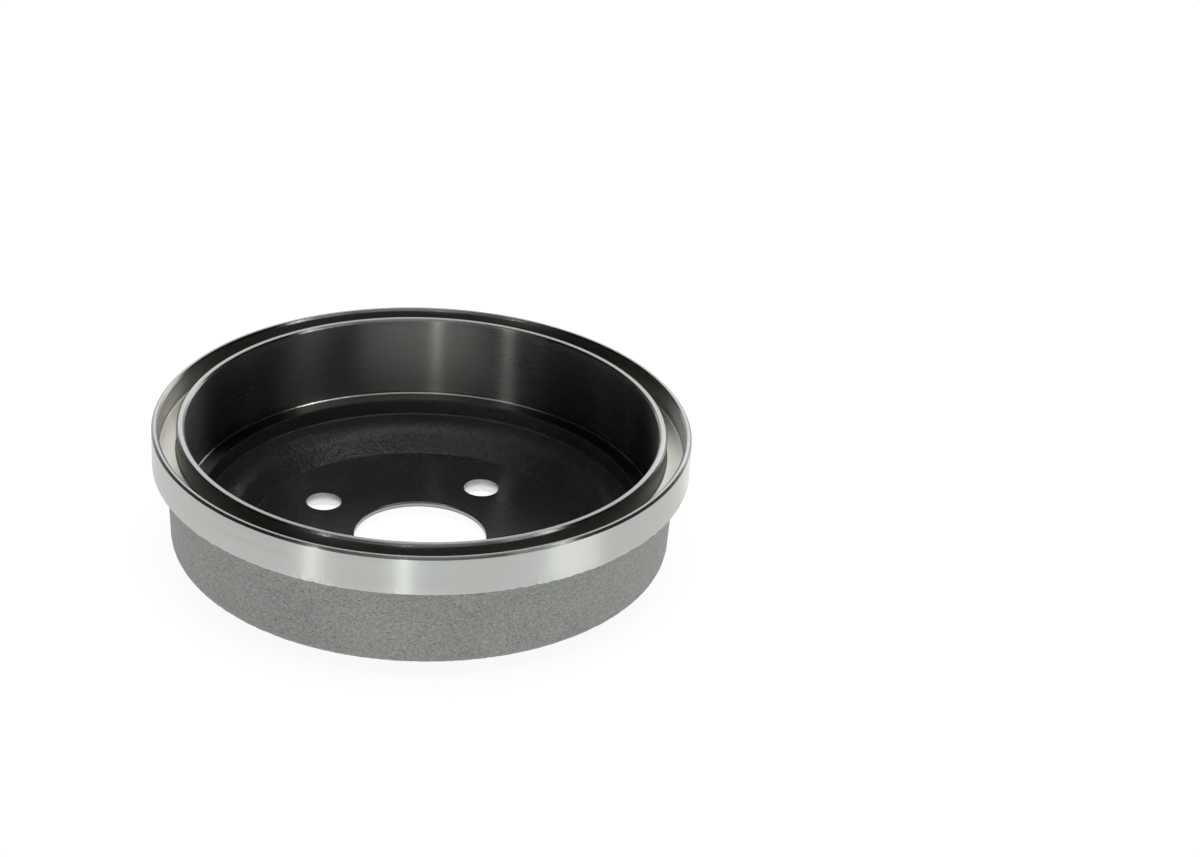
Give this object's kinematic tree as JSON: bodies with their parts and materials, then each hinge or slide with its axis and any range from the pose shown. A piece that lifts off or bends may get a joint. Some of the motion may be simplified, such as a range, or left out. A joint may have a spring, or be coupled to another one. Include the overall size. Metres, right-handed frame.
{
  "type": "brake drum",
  "caption": "Cast iron brake drum: a turned friction bore in a shallow cup, a grooved open edge inside a turned band, and a flat web with a centre bore and wheel bolt holes.",
  "frame": {"origin": "centre of the wheel face, on the axis of rotation, at the drum's base", "axes": "+Z along the axis of rotation, from the wheel face to the open side; +X through a wheel bolt hole"},
  "size_m": [0.2276, 0.2276, 0.06],
  "materials": {
    "cast_iron": "bright turned band, lips, bore and ledge; grey cast skin outside and black coated cast skin inside"
  },
  "bodies": {
    "root": {"brake_drum": "cast_iron"}
  },
  "joints": []
}
